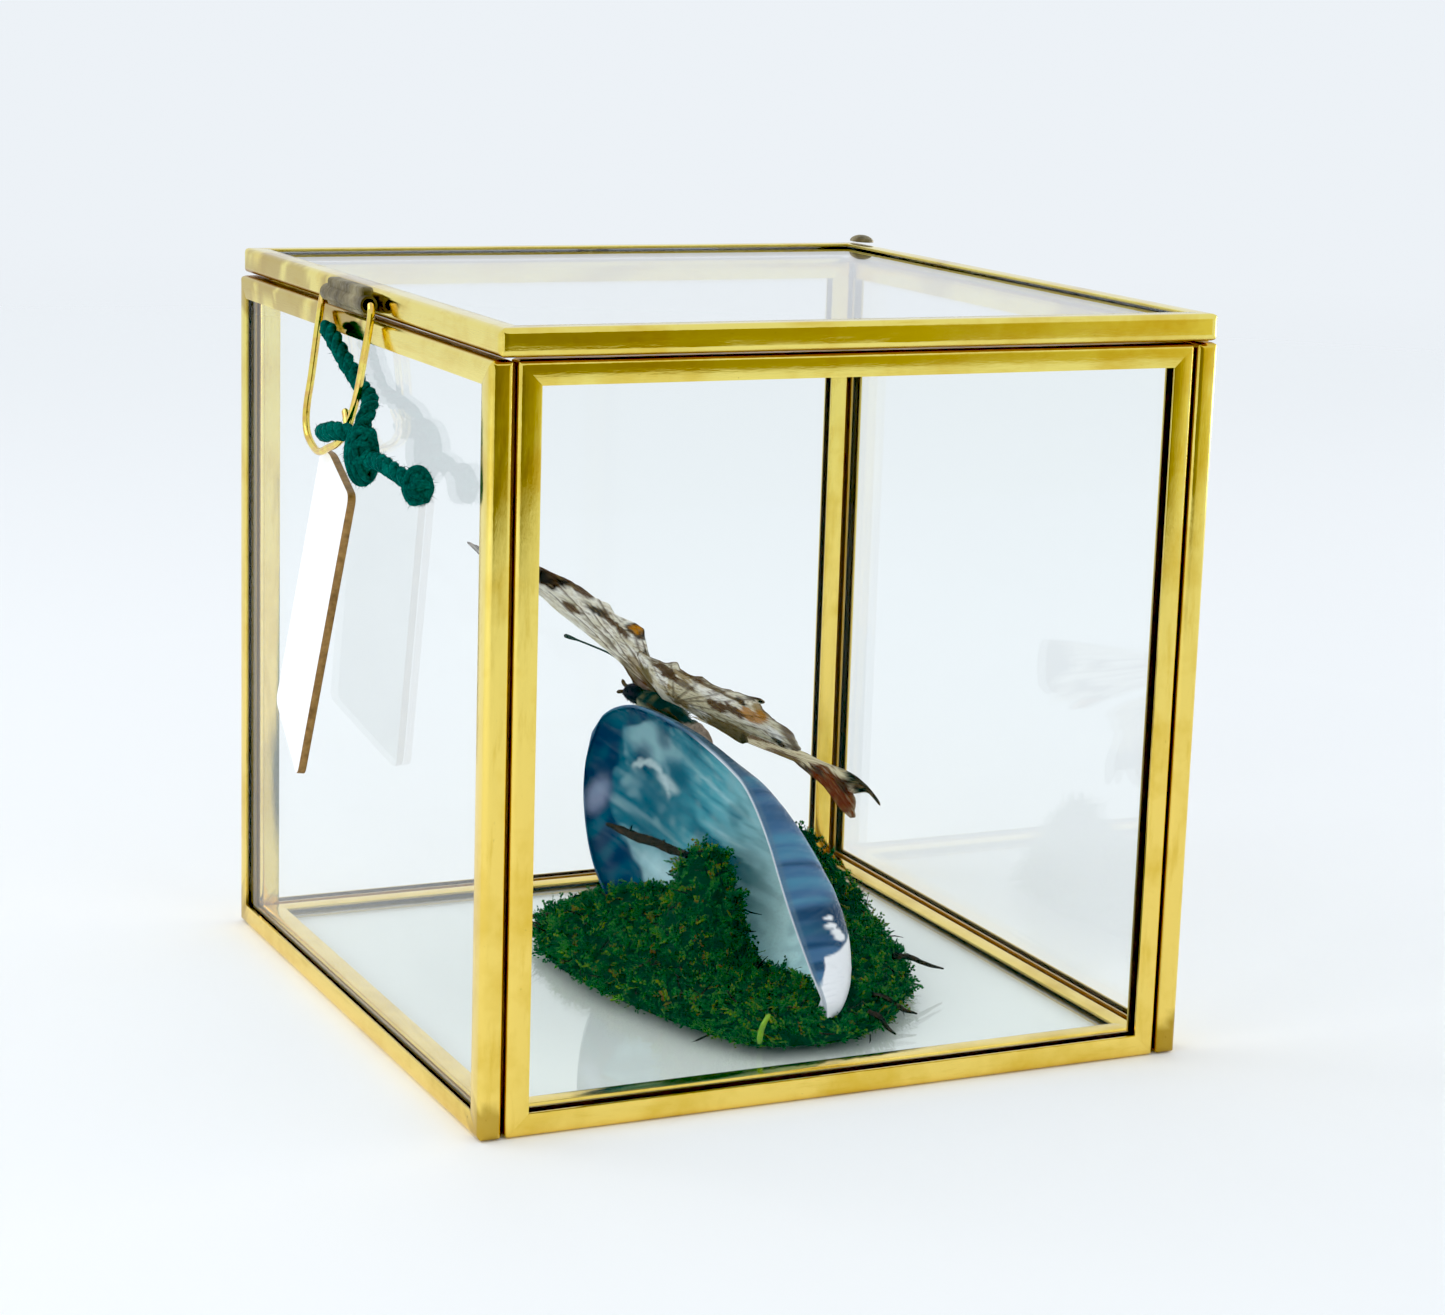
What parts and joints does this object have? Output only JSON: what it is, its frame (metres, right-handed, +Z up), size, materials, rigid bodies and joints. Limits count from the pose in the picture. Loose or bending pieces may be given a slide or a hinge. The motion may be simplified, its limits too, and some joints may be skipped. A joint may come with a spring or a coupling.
{
  "type": "butterfly on a mussel shell in a hinged glass box",
  "caption": "Square brass-edged glass box with a hinged lid and pull loop, holding a butterfly on an upright mussel valve in moss.",
  "frame": {"origin": "bottom centre of the case, on the surface it stands on", "axes": "+Z up, the display pane faces -Y, the lid's hinge is on the +X wall and the pull loop on the -X side"},
  "size_m": [0.1095, 0.102, 0.1009],
  "materials": {
    "brass": "polished brass edging with light patina",
    "solder": "dull dark solder over brass",
    "glass": "clear window glass",
    "yarn": "dark green twisted yarn",
    "tag": "white face with a bronze edge, no lettering",
    "shell": "glossy blue mussel shell, pearly inside",
    "moss": "dry green moss",
    "twig": "dry brown twig",
    "sprout": "bright green stalk",
    "butterfly_body": "dark hairy insect body",
    "wing": "white wing scales with brown and ochre markings"
  },
  "bodies": {
    "case": {"came_left_front": "brass", "came_left_back": "brass", "came_left_bottom": "brass", "came_left_top": "brass", "came_right_front": "brass", "came_right_back": "brass", "came_right_bottom": "brass", "came_right_top": "brass", "came_front_left": "brass", "came_front_right": "brass", "came_front_bottom": "brass", "came_front_top": "brass", "came_back_left": "brass", "came_back_right": "brass", "came_back_bottom": "brass", "came_back_top": "brass", "came_floor_left": "brass", "came_floor_right": "brass", "came_floor_front": "brass", "came_floor_back": "brass", "glass_left": "glass", "glass_right": "glass", "glass_front": "glass", "glass_back": "glass", "glass_floor": "glass", "hinge_tube_front": "brass", "hinge_tube_back": "brass", "hinge_pin": "brass", "mussel_valve": "shell", "moss_pad": "moss", "butterfly_body": "butterfly_body", "wing_fore_left": "wing", "wing_fore_right": "wing", "wing_hind_left": "wing", "wing_hind_right": "wing", "twig_long": "twig", "twig_right": "twig", "twig_right_low": "twig", "twig_front": "twig", "twig_left": "twig", "sprout": "sprout"},
    "lid": {"came_lid_left": "brass", "came_lid_right": "brass", "came_lid_front": "brass", "came_lid_back": "brass", "glass_lid": "glass", "hinge_tube_lid": "brass", "hinge_solder": "solder", "loop_tube": "solder"},
    "pull_loop": {"pull_loop": "brass", "yarn_strand": "yarn", "yarn_knot": "yarn", "yarn_tail": "yarn", "yarn_end_knot": "yarn", "tag": "tag"}
  },
  "joints": [
    {"name": "lid_hinge", "type": "hinge", "parent": "case", "child": "lid", "pos_m": [0.0515, 0, 0.09615], "axis": [0, 1, 0], "range_deg": [0, 110]},
    {"name": "loop_pivot", "type": "hinge", "parent": "lid", "child": "pull_loop", "pos_m": [-0.0507, 0, 0.0978], "axis": [0, 1, 0], "range_deg": [0, 110]}
  ]
}
